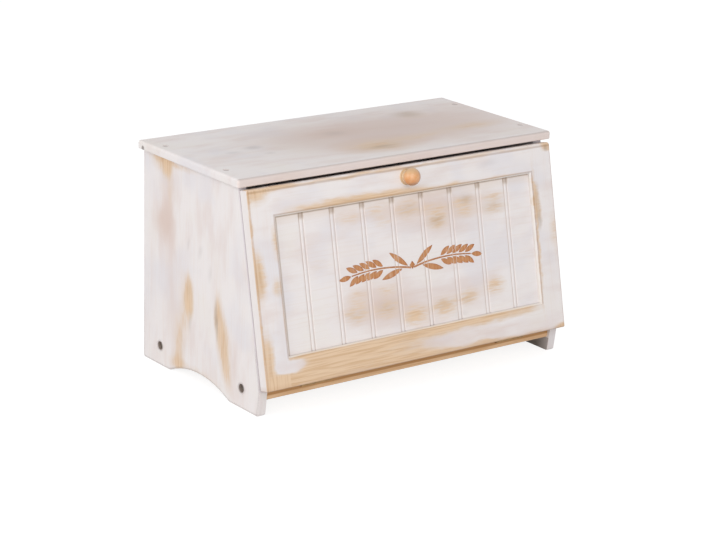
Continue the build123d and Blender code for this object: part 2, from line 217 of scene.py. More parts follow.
top_worn = [
    ((4, -27), (58, 32), 0.50),
    ((0, -31), (26, 17), 0.30),
    ((66, -20), (34, 14), 0.26),
    ((116, 68), (26, 22), 0.36),
    ((150, -6), (46, 17), 0.36),
    ((100, -12), (80, 16), 0.20),
]
# Rosy stains; the broad patch at (140, 30) is painted shade, darkening and warming the top towards the
# right.
top_rosy_and_shade = [
    ((-9, 38), (34, 22), 0.34),
    ((-20, 50), (120, 64), 0.50),
    ((60, 10), (170, 80), 0.34),
    ((140, 30), (140, 110), 0.50),
    ((20, -30), (140, 40), 0.30),
    ((4, -26), (64, 36), 0.60),
    ((-80, 10), (120, 70), 0.20),
]
# Smudges; the broad last patch is painted shade, darkening the whole top.
top_smudges_and_shade = [
    ((-120, 30), (12, 9), 0.22),
    ((-118, 2), (8, 6), 0.12),
    ((-150, 22), (10, 6), 0.14),
    ((116, 70), (22, 17), 0.24),
    ((-9, 38), (18, 11), 0.13),
    ((4, -33), (40, 14), 0.12),
    ((2, -36), (18, 9), 0.16),
    ((20, 30), (200, 90), 0.12),
]
door_worn = [
    ((-192, 204), (18, 13), 0.80),
    ((-201, 168), (4, 46), 0.70),
    ((-196, 119), (11, 29), 0.95),
    ((-201, 76), (4, 46), 0.80),
    ((-195, 34), (11, 32), 0.80),
    ((-188, 6), (26, 17), 0.95),
    ((-171, 151), (6, 22), 0.50),
    ((-175, 107), (7, 13), 0.45),
    ((-169, 70), (3.5, 66), 0.40),
    ((-124, 180.5), (44, 7.5), 0.62),
    ((-66, 180.5), (52, 8), 0.86),
    ((-6, 180), (46, 6.5), 0.90),
    ((56, 179.5), (44, 4), 0.62),
    ((122, 179), (50, 2.5), 0.40),
    ((-170, 206), (34, 4), 0.60),
    ((-70, 206.5), (120, 3), 0.55),
    ((100, 206.5), (120, 3), 0.36),
    ((197, 205), (12, 6), 1.05),
    ((174.5, 146), (5.5, 30), 0.68, 5),
    ((171.5, 105), (3, 90), 0.55),
    ((196, 112), (8, 24), 0.36),
    ((196, 4), (13, 6), 0.85),
    ((-120, 25), (66, 16), 1.00),
    ((-96, 9), (84, 13), 0.95),
    ((-152, 9), (42, 12), 0.90),
    ((-45, 27), (66, 14), 1.00),
    ((-20, 9), (56, 12), 0.62),
    ((34, 31), (64, 10), 1.05),
    ((98, 32), (54, 8), 0.95),
    ((148, 30), (26, 6), 0.50),
    ((30, 4), (90, 6), 0.60),
    ((110, 2.5), (100, 4), 0.55),
    ((-168, 23), (20, 8), -1.60, 4),
    ((-178, 36), (10, 18), -0.70),
    ((-138, 32), (34, 3.5), 0.80),
]
door_rosy = [
    ((-176, 60), (10, 60), 0.25),
    ((-60, 14), (120, 20), 0.50),
    ((-140, 24), (26, 9), 0.60),
    ((40, 16), (90, 11), 0.34),
    ((120, 14), (60, 10), 0.22),
    ((-181, 165), (8, 34), 0.22),
    ((187, 60), (10, 70), 0.20),
    ((60, 196), (70, 8), 0.15),
]
door_smudges = [
    ((176, 124), (3.5, 12), 0.26),
    ((174.5, 146), (5, 28), 0.17),
    ((194, 203), (4, 4), 0.36),
    ((-197, 118), (8, 24), 0.12),
    ((-173, 100), (4, 18), 0.10),
    ((110, 196), (16, 5), 0.10),
    ((184, 3), (8, 3), 0.18),
]
panel_worn = [
    ((-77, 163), (20, 9), 0.32),
    ((-40, 167), (22, 9), 0.32),
    ((-32, 153), (18, 9), 0.28),
    ((2, 161), (24, 13), 0.46),
    ((38, 157), (23, 9), 0.46),
    ((38, 144), (18, 11), 0.54),
    ((76, 157), (22, 12), 0.52),
    ((78, 146), (20, 6), 0.30),
    ((116, 160), (22, 6), 0.36),
    ((117, 147), (22, 10), 0.42),
    ((109, 64), (17, 12), 0.54),
    ((70, 56), (19, 11), 0.54),
    ((38, 52), (22, 13), 0.66),
    ((-1, 49), (21, 14), 0.68),
    ((-78, 62), (22, 14), 0.46),
    ((-74, 79), (18, 10), 0.34),
    ((-38, 61), (22, 13), 0.52),
    ((-36, 81), (18, 9), 0.34),
    ((-118, 120), (18, 10), 0.14),
]
panel_rosy = [
    ((-80, 130), (36, 46), 0.20),
    ((-58, 66), (60, 32), 0.60),
    ((10, 54), (84, 28), 0.50),
    ((90, 60), (40, 22), 0.35),
    ((60, 152), (94, 26), 0.60),
    ((-20, 163), (120, 14), 0.40),
    ((0, 110), (120, 60), 0.12),
]
panel_smudges = [
    ((38, 144), (15, 8), 0.16),
    ((80, 161), (12, 9), 0.18),
    ((117, 149), (20, 10), 0.12),
    ((2, 160), (18, 9), 0.10),
    ((38, 54), (16, 8), 0.12),
    ((70, 55), (14, 7), 0.08),
    ((-38, 63), (18, 9), 0.10),
    ((-78, 61), (16, 9), 0.08),
    ((60, 40), (14, 4), 0.08),
]
back_worn = [
    ((-90, 150), (80, 17), 0.55),
    ((80, 80), (90, 19), 0.50),
    ((140, 190), (50, 15), 0.42),
    ((-150, 60), (50, 17), 0.40),
    ((20, 224), (170, 6), 0.35),
]
back_rosy = [
    ((-40, 120), (140, 36), 0.45),
    ((110, 150), (84, 48), 0.35),
    ((-130, 200), (74, 24), 0.35),
]


def add(tree, kind, inputs=None, **settings):
    """Adds a shader node and sets or links its inputs."""
    made = tree.nodes.new(kind)
    for key, value in settings.items():
        setattr(made, key, value)
    for key, value in (inputs or {}).items():
        if isinstance(value, bpy.types.NodeSocket):
            tree.links.new(value, made.inputs[key])
        else:
            made.inputs[key].default_value = value
    return made


def calc(tree, operation, first, second=0.0, clamp=False):
    """One step of arithmetic on numbers."""
    made = add(tree, "ShaderNodeMath", {0: first, 1: second}, operation=operation, use_clamp=clamp)
    return made.outputs[0]


def product(tree, *values):
    """Several numbers multiplied."""
    total = values[0]
    for value in values[1:]:
        total = calc(tree, "MULTIPLY", total, value)
    return total


def fade(tree, value, start, end, low=0.0, high=1.0):
    """A smooth change from low to high as value goes from start to end."""
    inputs = {"Value": value, "From Min": start, "From Max": end, "To Min": low, "To Max": high}
    made = add(tree, "ShaderNodeMapRange", inputs, interpolation_type="SMOOTHSTEP")
    return made.outputs[0]


def level(tree, value, start, end):
    """An even change from nought to one as value goes from start to end."""
    inputs = {"Value": value, "From Min": start, "From Max": end}
    return add(tree, "ShaderNodeMapRange", inputs).outputs[0]


def noise(tree, place, size, detail=2.0, roughness=0.5, channel="Fac"):
    """Soft noise whose features are about size wide, in the units of place."""
    inputs = {"Vector": place, "Scale": 1.0 / size, "Detail": detail, "Roughness": roughness}
    return add(tree, "ShaderNodeTexNoise", inputs).outputs[channel]


def stretch(tree, place, factors):
    """The same place with each direction multiplied."""
    made = add(tree, "ShaderNodeVectorMath", {0: place, 1: factors}, operation="MULTIPLY")
    return made.outputs[0]


def shift(tree, place, offset):
    """The same place moved by an offset."""
    return add(tree, "ShaderNodeVectorMath", {0: place, 1: offset}, operation="ADD").outputs[0]


def length(tree, place):
    """How far a place is from the origin."""
    return add(tree, "ShaderNodeVectorMath", {0: place}, operation="LENGTH").outputs["Value"]


def axes(tree, place):
    """The three numbers of a place."""
    return add(tree, "ShaderNodeSeparateXYZ", {0: place}).outputs


def mixed(tree, factor, first, second, mode="MIX"):
    """A colour between two others."""
    made = add(tree, "ShaderNodeMix", data_type="RGBA", blend_type=mode)
    for socket, value in ((0, factor), (6, first), (7, second)):
        if isinstance(value, bpy.types.NodeSocket):
            tree.links.new(value, made.inputs[socket])
        else:
            made.inputs[socket].default_value = value if socket == 0 else (*value, 1.0)
    return made.outputs[2]


def board_place(tree, layout):
    """Millimetres on a board: first and second along its face, third through it."""
    place = add(tree, "ShaderNodeTexCoord").outputs["Object"]
    if layout == "door":
        turn = {"Vector": place, "Center": hinge, "Angle": lean}
        place = add(tree, "ShaderNodeVectorRotate", turn, rotation_type="X_AXIS").outputs[0]
        place = shift(tree, place, -hinge)
    x, y, z = axes(tree, stretch(tree, place, (1000, 1000, 1000)))
    order = {"side": (y, z, x), "top": (x, y, z), "upright": (x, z, y), "door": (x, z, y)}[layout]
    return add(tree, "ShaderNodeCombineXYZ", dict(enumerate(order))).outputs[0]


def wander(tree, place, along, reach):
    """The same place pushed about a little, in strokes that follow the grain."""
    drift = (0.4, 1.0, 1.0) if along == 0 else (1.0, 0.4, 1.0)
    push = noise(tree, stretch(tree, place, drift), 12.0, 3.0, channel="Color")
    push = stretch(tree, shift(tree, push, (-0.5, -0.5, -0.5)), (reach, reach, 0))
    return add(tree, "ShaderNodeVectorMath", {0: push, 1: place}, operation="ADD").outputs[0]


def patch_sum(tree, place, patches):
    """The sum of soft oval patches, each a centre, a half size, a strength and perhaps a tilt."""
    total = 0.0
    for centre, half_size, strength, *tilt in patches:
        near = shift(tree, place, (-centre[0], -centre[1], 0))
        if tilt:
            turn = {"Vector": near, "Angle": radians(-tilt[0])}
            near = add(tree, "ShaderNodeVectorRotate", turn, rotation_type="Z_AXIS").outputs[0]
        near = stretch(tree, near, (1 / half_size[0], 1 / half_size[1], 0))
        spot = fade(tree, length(tree, near), 0.0, 1.3, strength, 0.0)
        total = calc(tree, "ADD", total, spot)
    return total


def outer_face(tree, place, layout):
    """One on the outer face of a board, and low on its inner face, which sees less wear."""
    through = axes(tree, place)[2]
    if layout == "side":
        through = calc(tree, "ABSOLUTE", through)
    start, end = face_change[layout]
    return fade(tree, through, start, end, 0.22, 1.0)


def edge_mask(tree, radius_mm, start=0.995, end=0.80):
    """One on the arrises and nought on flat faces."""
    rounded = add(tree, "ShaderNodeBevel", {"Radius": radius_mm / 1000}, samples=6).outputs[0]
    true = add(tree, "ShaderNodeNewGeometry").outputs["Normal"]
    agree = add(tree, "ShaderNodeVectorMath", {0: rounded, 1: true}, operation="DOT_PRODUCT")
    return fade(tree, agree.outputs["Value"], start, end)


def pine(tree, place, along, seed):
    """Golden pine, its fibres and its growth lines. Its grain follows the board's first or second number."""
    fine = (0.012, 0.42, 0.42) if along == 0 else (0.42, 0.012, 0.42)
    broad = (0.0035, 0.085, 0.085) if along == 0 else (0.085, 0.0035, 0.085)
    moved = shift(tree, place, (seed * 37.0, seed * 53.0, seed * 11.0))
    fibres = noise(tree, stretch(tree, moved, fine), 1.0, 4.0, 0.6)
    bands = noise(tree, stretch(tree, moved, broad), 1.0, 3.0, 0.55)
    rings = calc(tree, "FRACT", product(tree, bands, 9.0))
    rings = fade(tree, calc(tree, "ABSOLUTE", calc(tree, "SUBTRACT", rings, 0.5)), 0.0, 0.5)
    tone = calc(tree, "ADD", product(tree, fibres, 0.75), product(tree, rings, 0.25))
    colour = mixed(tree, fade(tree, tone, 0.30, 0.62), pine_gold, pine_light)
    lines = fade(tree, tone, 0.34, 0.20, 0.0, 0.26)
    colour = mixed(tree, lines, colour, pine_dark)
    return colour, fibres, tone


def finish_shader(tree, colour, roughness, height, depth_mm):
    """The surface shader with its bump, linked to the output."""
    bump = add(tree, "ShaderNodeBump", {"Height": height, "Strength": 1.0, "Distance": depth_mm / 1000})
    surface = add(
        tree,
        "ShaderNodeBsdfPrincipled",
        {"Base Color": colour, "Roughness": roughness, "Normal": bump.outputs[0]},
    )
    tree.links.new(surface.outputs[0], add(tree, "ShaderNodeOutputMaterial").inputs[0])
    return surface


def new_material(name):
    """An empty node material."""
    material = bpy.data.materials.new(name)
    material.use_nodes = True
    material.node_tree.nodes.clear()
    return material


def brushed_paint(tree, place, along, seed, wood, tone):
    """White paint whose tone drifts in broad soft bands, a little of the grain showing in it."""
    moved = shift(tree, place, (seed * 91.0, seed * 29.0, 0))
    long = (0.28, 1.0, 1.0) if along == 0 else (1.0, 0.28, 1.0)
    bands = noise(tree, stretch(tree, moved, long), 17.0, 3.0)
    clouds = noise(tree, moved, 55.0, 2.0)
    paint = mixed(tree, fade(tree, bands, 0.44, 0.72, 0.0, 0.75), paint_white, paint_rose)
    paint = mixed(tree, fade(tree, clouds, 0.48, 0.72, 0.0, 0.65), paint, paint_cool)
    paint = mixed(tree, fade(tree, clouds, 0.45, 0.28, 0.0, 0.35), paint, paint_cream)
    return mixed(tree, fade(tree, tone, 0.50, 0.26, 0.0, 0.07), paint, wood)


def joint_gap(tree, place):
    """One on the door, and nought along the flush joints between its stiles and rails."""
    x, up, through = axes(tree, place)
    off = calc(tree, "ABSOLUTE", calc(tree, "SUBTRACT", calc(tree, "ABSOLUTE", x), opening_right))
    below = fade(tree, up, opening_low + 1.0, opening_low)
    above = fade(tree, up, opening_high - 1.0, opening_high)
    face = fade(tree, calc(tree, "ABSOLUTE", calc(tree, "SUBTRACT", through, door_face)), 0.6, 0.3)
    joint = product(tree, fade(tree, off, 5.0, 3.0), calc(tree, "ADD", below, above), face)
    return calc(tree, "SUBTRACT", 1.0, joint, clamp=True)


def whitewash(
    name, layout, along, seed, worn=(), rosy=(), smudges_and_shade=(), wear=0.3, line=0.25, streaky=0.2, extra=None
):
    """Thin white paint on pine, rubbed through in patches and along the arrises."""
    low, high = 1 - streaky, 1 + streaky
    material = new_material(name)
    tree = material.node_tree
    place = board_place(tree, layout)
    wood, fibres, tone = pine(tree, place, along, seed)
    brush = 0 if layout == "door" else along
    paint = brushed_paint(tree, place, brush, seed, wood, tone)
    warped = wander(tree, place, brush, 9.0)
    outside = outer_face(tree, place, layout)
    # Rosy stains, and on the top board a broad patch of painted shade.
    stain_and_shade = product(tree, patch_sum(tree, wander(tree, place, brush, 20.0), rosy), outside)
    paint = mixed(tree, fade(tree, stain_and_shade, 0.0, 1.0, 0.0, 0.9), paint, rose_stain_and_shade)

    strokes = (0.07, 0.45, 0.45) if brush == 0 else (0.45, 0.07, 0.45)
    breaks = fade(tree, noise(tree, stretch(tree, place, strokes), 1.0, 2.0), 0.3, 0.7, low, high)
    rubbed = product(tree, breaks, outside, patch_sum(tree, warped, worn))
    arris = edge_mask(tree, 1.8)
    if layout == "door":
        arris = product(tree, arris, joint_gap(tree, place))
    uneven = noise(tree, shift(tree, place, (seed * 17.0, 0, 0)), 28.0, 2.0)
    bare_arris = product(tree, arris, fade(tree, uneven, 0.35, 0.62, 0.1, wear))
    rubbed = calc(tree, "ADD", rubbed, bare_arris)
    show = level(tree, rubbed, 0.03, 1.0)
    colour = mixed(tree, level(tree, show, 0.0, 0.6), paint, thin_paint_and_shade)
    colour = mixed(tree, level(tree, show, 0.25, 0.95), colour, wood)
    dirty_arris = product(tree, arris, fade(tree, uneven, 0.3, 0.6, line, 0.4 * line))
    colour = mixed(tree, dirty_arris, colour, dirt_and_shade)
    # Smudges, and on the top board a broad patch of painted shade.
    if smudges_and_shade:
        smudge_and_shade = product(tree, patch_sum(tree, warped, smudges_and_shade), outside)
        colour = mixed(tree, smudge_and_shade, colour, dirt_and_shade)
    if extra:
        colour = extra(tree, place, colour)
    roughness = fade(tree, show, 0.0, 1.0, 0.50, 0.60)
    height = calc(tree, "ADD", product(tree, fibres, 0.5), product(tree, show, -0.6))
    surface = finish_shader(tree, colour, roughness, height, 0.08)
    surface.inputs["Specular IOR Level"].default_value = 0.35
    return material


def side_marks(tree, place, colour):
    """A side panel's dark counterbores, and painted shade in the seam along the door, on the lower rim and
    on the feet's inner faces.
    """
    low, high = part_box("bottom_board_screws")
    head_radius = (high[2] - low[2]) / 2
    height = (high[2] + low[2]) / 2
    _, up, through = axes(tree, place)
    skin = calc(tree, "ABSOLUTE", through)
    inside = fade(tree, skin, half_width - 0.8, half_width - 0.3, 1.0, 0.0)
    for along in (low[1] + head_radius, high[1] - head_radius):
        away = shift(tree, place, (-1000 * along, -1000 * height, 0))
        reach = length(tree, stretch(tree, away, (1, 1, 0)))
        near = fade(tree, reach, counterbore_radius + 0.4, counterbore_radius - 0.1)
        colour = mixed(tree, product(tree, near, inside), colour, hole_brown)
    _, up_door, behind_door = axes(tree, board_place(tree, "door"))
    # Painted shade in the seam where the door closes against the side panel.
    seam = product(tree, fade(tree, behind_door, 0.9, -0.3), fade(tree, up_door, -2.0, 4.0), 0.5)
    colour = mixed(tree, seam, colour, seam_shade_grey)
    # Painted shade on the arrises of the lower part of the outer face, along the arch and the feet.
    outside = fade(tree, skin, half_width - 1.0, half_width - 0.4)
    rim = product(tree, edge_mask(tree, 5.0, 0.998, 0.90), outside, fade(tree, up, 80, 60, 0.0, 0.50))
    colour = mixed(tree, rim, colour, dirt_and_shade)
    # Painted shade on the inner faces of the feet below the bottom board, darker further back.
    underside = 1000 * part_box("bottom_board")[0][2]
    inner_face = half_width - side_thickness
    within = fade(tree, skin, inner_face + 0.3, inner_face + 0.1)
    foot = product(tree, within, fade(tree, up, underside, underside - 0.5))
    tone = mixed(tree, fade(tree, behind_door, 1.0, 30.0), foot_shade_pale, foot_shade_dark)
    return mixed(tree, foot, colour, tone)


def top_marks(tree, place, colour):
    """The top board's duller front edge, a dark line along its arris and a dark spot near a rear corner."""
    low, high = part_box("top_board")
    _, y, z = axes(tree, place)
    front = 1000 * low[1]
    top = 1000 * high[2]
    edge = product(tree, fade(tree, y, front + 2.4, front + 0.6), 0.5)
    colour = mixed(tree, edge, colour, rose_stain_and_shade)
    line = product(tree, fade(tree, y, front + 3.2, front + 1.8), fade(tree, z, top - 2.2, top - 0.4))
    colour = mixed(tree, product(tree, line, 0.30), colour, dirt_and_shade)
    # A dark spot low on the left end, near the rear corner.
    corner = (-1000 * low[0], -1000 * high[1] + 11.0, -1000 * low[2] - 2.2)
    dark_spot = fade(tree, length(tree, shift(tree, place, corner)), 3.4, 1.6, 0.0, 0.8)
    return mixed(tree, dark_spot, colour, dirt_and_shade)


def door_marks(tree, place, colour):
    """Glaze and brown lines along the arrises of the door's frame, its clean left edge, warm foot and a band
    below its top, and painted shade in the seam behind its left edge and along its lower edge.
    """
    x, up, through = axes(tree, place)
    aside = calc(tree, "ABSOLUTE", x)
    beside = fade(tree, aside, opening_right + 4, opening_right + 2)

    chamfer = fade(tree, through, door_face + 0.3, door_face + 0.9)
    shallow = fade(tree, through, door_face + 5.0, door_face + 4.5)
    from_low = fade(tree, up, opening_low - 4, opening_low)
    to_high = fade(tree, up, opening_high + 4, opening_high)
    inside = product(tree, chamfer, shallow, from_low, to_high, beside, 0.65)
    colour = mixed(tree, inside, colour, paint_cream)

    end = fade(tree, x, 0.6 - door_half_width, 0.05 - door_half_width)
    clean = product(tree, end, fade(tree, through, door_face + 1.0, door_face + 2.6), 0.92)
    colour = mixed(tree, clean, colour, paint_white)
    # Painted shade in the seam at the back of the door's left end.
    seam = product(tree, end, fade(tree, through, -1.9, -1.1), 0.5)
    colour = mixed(tree, seam, colour, seam_shade_grey)

    facing = fade(tree, through, door_face + 0.6, door_face + 0.3)
    arris = opening_right + sticking_chamfer
    from_low = fade(tree, up, opening_low - 3, opening_low)
    to_high = fade(tree, up, opening_high + 3, opening_high)
    sides = product(tree, fade(tree, aside, arris + 1.7, arris + 0.7), facing, from_low, to_high)
    arris = opening_high + sticking_chamfer
    above = product(
        tree,
        fade(tree, up, arris + 1.5, arris + 0.5),
        fade(tree, up, opening_high, opening_high + 0.5),
        facing,
        beside,
    )
    outer = product(
        tree,
        fade(tree, aside, door_half_width - 2.1, door_half_width - 1.3),
        fade(tree, through, door_face + 1.3, door_face + 0.9),
    )
    outline = calc(tree, "MAXIMUM", calc(tree, "MAXIMUM", sides, outer), above)
    colour = mixed(tree, product(tree, outline, 0.36), colour, line_brown)

    foot = fade(tree, up, door_low + 7.0, door_low + 1.2, 0.0, 0.18)
    colour = mixed(tree, foot, colour, seam_gold)
    # A brown line along the door's lower edge is painted shade where it meets the bottom board; a fainter
    # brown band runs just below its top.
    bottom = fade(tree, up, door_low + 1.3, door_low + 0.4, 0.0, 0.4)
    top = product(
        tree,
        fade(tree, up, door_high - 5.0, door_high - 3.6, 0.0, 0.35),
        fade(tree, up, door_high - 1.4, door_high - 2.8),
    )
    line = product(tree, calc(tree, "MAXIMUM", bottom, top), calc(tree, "SUBTRACT", 1.0, end))
    return mixed(tree, line, colour, line_brown)


def panel_marks(tree, place, colour):
    """Grooves with thin glaze, a painted highlight on the beads, painted shadow under the top rail and on
    the beads' top ends, and darker lines along the frame.
    """
    x, up, through = axes(tree, place)
    slat = calc(tree, "FRACT", calc(tree, "ADD", calc(tree, "DIVIDE", x, bead_pitch), 0.5))
    off = calc(tree, "ABSOLUTE", calc(tree, "SUBTRACT", slat, 0.5))
    inner = 0.5 - bead_half / bead_pitch
    on_bead = fade(tree, off, inner - 0.008, inner + 0.008)
    # Whiter paint on the beads' crowns: a painted highlight.
    colour = mixed(tree, product(tree, on_bead, 0.35), colour, paint_white)
    deep = fade(tree, through, panel_face + 0.35, panel_face + groove_depth, 0.0, 0.5)
    colour = mixed(tree, deep, colour, groove_tan)
    # Painted shadow on the panel below the top rail.
    shade = fade(tree, up, opening_high - 12.0, opening_high - 2.5, 0.0, 0.30)
    colour = mixed(tree, shade, colour, thin_paint_and_shade)
    # Painted shadow on the beads' top ends below the rail.
    spot = product(tree, on_bead, fade(tree, up, opening_high - 9.0, opening_high - 4.0, 0.0, 0.5))
    colour = mixed(tree, spot, colour, glaze_and_shade_brown)
    # A glaze line in the corner below the top rail and a brown line along the panel's left edge.
    corner = fade(tree, up, opening_high - 2.2, opening_high - 1.0, 0.0, 0.6)
    left = fade(tree, x, opening_left + 3.5, opening_left + 2.7, 0.0, 0.55)
    colour = mixed(tree, calc(tree, "MAXIMUM", corner, left), colour, glaze_and_shade_brown)
    # Darker along the bottom edge of the panel.
    low = fade(tree, up, opening_low + 1.4, opening_low + 0.2, 0.0, 0.25)
    return mixed(tree, low, colour, dirt_and_shade)


def board_marks(tree, place, colour):
    """The bottom board's warm front edge, with a golden brown line of painted shadow where the door covers
    it.
    """
    low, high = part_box("bottom_board")
    _, y, z = axes(tree, place)
    front = 1000 * low[1]
    top = 1000 * high[2]
    edge = fade(tree, y, front + 3.0, front + 1.5)
    colour = mixed(tree, edge, colour, front_tint, "MULTIPLY")
    # Painted shadow under the door, at the top of the board's front edge.
    line = product(tree, edge, fade(tree, z, top - 5.8, top - 4.3, 0.0, 0.78))
    return mixed(tree, line, colour, seam_gold)


def bare_wood(name, layout, along, seed, tint, extra):
    """Unpainted pine."""
    material = new_material(name)
    tree = material.node_tree
    place = board_place(tree, layout)
    wood, fibres, _ = pine(tree, place, along, seed)
    colour = mixed(tree, 1.0, wood, tint, "MULTIPLY")
    colour = extra(tree, place, colour)
    finish_shader(tree, colour, fade(tree, fibres, 0.3, 0.7, 0.44, 0.6), fibres, 0.12)
    return material


def carved_wood():
    """The stained floor and walls of the carving."""
    material = new_material("carved_wood")
    tree = material.node_tree
    place = board_place(tree, "door")
    fibres = noise(tree, stretch(tree, place, (0.5, 0.02, 0.5)), 1.0, 3.0)
    cloud = noise(tree, place, 9.0, 2.0)
    colour = mixed(tree, fade(tree, fibres, 0.3, 0.7), carved_brown, carved_light)
    colour = mixed(tree, fade(tree, cloud, 0.5, 0.8, 0.0, 0.3), colour, thin_paint_and_shade)
    finish_shader(tree, colour, 0.6, fibres, 0.08)
    return material


def turned_wood():
    """Varnished turned wood, with its grain along the knob's own axis."""
    material = new_material("turned_knob_wood")
    tree = material.node_tree
    place = board_place(tree, "door")
    fibres = noise(tree, stretch(tree, place, (0.40, 0.40, 0.06)), 1.0, 3.0)
    rings = noise(tree, stretch(tree, place, (0.06, 0.10, 0.02)), 1.0, 1.0)
    x, up, through = axes(tree, place)
    # Browner towards the bottom of the knob: painted shade, mixed with the grain rings.
    low = fade(tree, up, knob_up + 5.0, knob_up - 6.0, -0.05, 0.55)
    depth = calc(tree, "ADD", low, fade(tree, rings, 0.38, 0.66, 0.0, 0.45), clamp=True)
    colour = mixed(tree, depth, knob_gold, knob_brown)
    colour = mixed(tree, fade(tree, fibres, 0.40, 0.75, 0.0, 0.25), colour, knob_pale)
    colour = mixed(tree, fade(tree, up, knob_up + 0.5, knob_up + 8.0, 0.0, 0.8), colour, knob_dull)
    # Painted shade on the knob's right side and underside.
    right = fade(tree, x, 2.0, 7.6, 0.0, 0.62)
    below = fade(tree, up, knob_up - 4.5, knob_up - 8.8, 0.0, 0.7)
    colour = mixed(tree, calc(tree, "MAXIMUM", right, below), colour, painted_knob_shade)
    base = fade(tree, through, door_face - 9.0, door_face - 4.0, 0.0, 0.8)
    colour = mixed(tree, base, colour, knob_pale)
    surface = finish_shader(tree, colour, 0.34, fibres, 0.02)
    surface.inputs["Coat Weight"].default_value = 0.6
    surface.inputs["Coat Roughness"].default_value = 0.16
    return material


def metal(name, colour, roughness, cloud_mm):
    """Plain metal with fine scratches and a slightly uneven tone."""
    material = new_material(name)
    tree = material.node_tree
    place = board_place(tree, "top")
    scratches = noise(tree, stretch(tree, place, (0.15, 3.0, 3.0)), 1.0, 3.0)
    cloud = noise(tree, place, cloud_mm, 3.0)
    dark = tuple(channel * 0.7 for channel in colour)
    tone = mixed(tree, fade(tree, cloud, 0.35, 0.7), colour, dark)
    rough = fade(tree, scratches, 0.3, 0.7, roughness - 0.08, roughness + 0.12)
    surface = finish_shader(tree, tone, rough, scratches, 0.02)
    surface.inputs["Metallic"].default_value = 1.0
    return material


def dress(material, *names):
    """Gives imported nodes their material."""
    for name in names:
        data = nodes[name].data
        if not data.materials:
            data.materials.append(material)
        for slot in nodes[name].material_slots:
            slot.material = material


def vesica(base, angle, size, width, points=9):
    """A pointed oval from its base point, as a closed outline."""
    radius = (size**2 + width**2) / (4 * width)
    half = atan2(size / 2, radius - width / 2)
    outline = []
    for side in (1, -1):
        for i in range(points):
            turn = half * (1 - 2 * i / points) * side
            along = size / 2 - radius * sin(turn) * side
            across = side * (radius * cos(turn) - (radius - width / 2))
            outline.append((along, across) if side == 1 else (size - along, across))
    return [
        (base[0] + a * cos(angle) - b * sin(angle), base[1] + a * sin(angle) + b * cos(angle))
        for a, b in outline
    ]


def stem_point(distance):
    """A point of the sprig's stem, and its direction, at a distance from the middle."""
    share = distance / sprig_reach
    height = sprig_rise * (1 - (2 * share - 1) ** 2) - sprig_drop
    slope = atan2(sprig_rise * 4 * (1 - 2 * share), sprig_reach)
    return (distance, height), slope


def beside_stem(base, slope, offset):
    """A point at an offset from the stem, square to its direction."""
    return (base[0] - offset * sin(slope), base[1] + offset * cos(slope))


def sprig_outlines():
    """The right half of the sprig: stem, two leaves, paired kernels and the end kernel."""
    outlines = []
    first_kernel = sprig_reach - kernel_length - kernel_pairs * kernel_pitch
    stem_end = sprig_reach - kernel_length
    lower = []
    upper = []
    for i in range(stem_steps + 1):
        distance = stem_start + (stem_end - stem_start) * i / stem_steps
        (x, y), slope = stem_point(distance)
        half = stem_width / 2 * (1 - stem_taper * i / stem_steps)
        lower.append((x + half * sin(slope), y - half * cos(slope)))
        upper.append((x - half * sin(slope), y + half * cos(slope)))
    outlines.append(lower + upper[::-1])
    for i in range(kernel_pairs):
        base, slope = stem_point(first_kernel + i * kernel_pitch)
        for side in (1, -1):
            foot = beside_stem(base, slope, side * kernel_foot)
            outlines.append(vesica(foot, slope + side * kernel_spread, kernel_length, kernel_width))
    tip, slope = stem_point(stem_end + 0.6)
    outlines.append(vesica(tip, slope, kernel_length, kernel_width))
    for distance, side in leaf_starts:
        base, slope = stem_point(distance)
        foot = beside_stem(base, slope, side * leaf_foot)
        outlines.append(vesica(foot, slope + side * leaf_spread, leaf_length, leaf_width, 12))
    return outlines


def door_point(along, up, through):
    """A point given in the upright door's own millimetres, in the frame's metres."""
    local = Vector((along, through, up)) / 1000
    return hinge + Matrix.Rotation(-lean, 3, "X") @ local


def carving_cutter():
    """Both halves of the sprig and its bud, as prisms that reach to the carving's depth."""
    cutter = bmesh.new()
    bud = [(-bud_half_width, 0), (0, -bud_half_height), (bud_half_width, 0), (0, bud_half_height)]
    outlines = [bud]
    for outline in sprig_outlines():
        outlines.append(outline)
        outlines.append([(-x, y) for x, y in reversed(outline)])
    for outline in outlines:
        rings = []
        for through in (panel_face - 1.0, panel_face + carving_depth):
            rings.append(
                [
                    cutter.verts.new(door_point(sprig_centre[0] + x, sprig_centre[1] + y, through))
                    for x, y in outline
                ]
            )
        front, back = rings
        cutter.faces.new(front)
        cutter.faces.new(back[::-1])
        for i in range(len(outline)):
            j = (i + 1) % len(outline)
            cutter.faces.new((front[j], front[i], back[i], back[j]))
    bmesh.ops.recalc_face_normals(cutter, faces=cutter.faces)
    mesh = bpy.data.meshes.new("carving_cutter")
    cutter.to_mesh(mesh)
    cutter.free()
    return mesh


def welded_copy(name, source):
    """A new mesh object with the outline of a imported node, welded along its edges."""
    shell = bmesh.new()
    shell.from_mesh(source.data)
    bmesh.ops.remove_doubles(shell, verts=shell.verts, dist=1e-6)
    points = [vertex.co.copy() for vertex in shell.verts]
    shell.verts.index_update()
    faces = [[vertex.index for vertex in face.verts] for face in shell.faces]
    shell.free()
    mesh = bpy.data.meshes.new(name)
    mesh.from_pydata(points, [], faces)
    made = bpy.data.objects.new(name, mesh)
    bpy.context.scene.collection.objects.link(made)
    return made


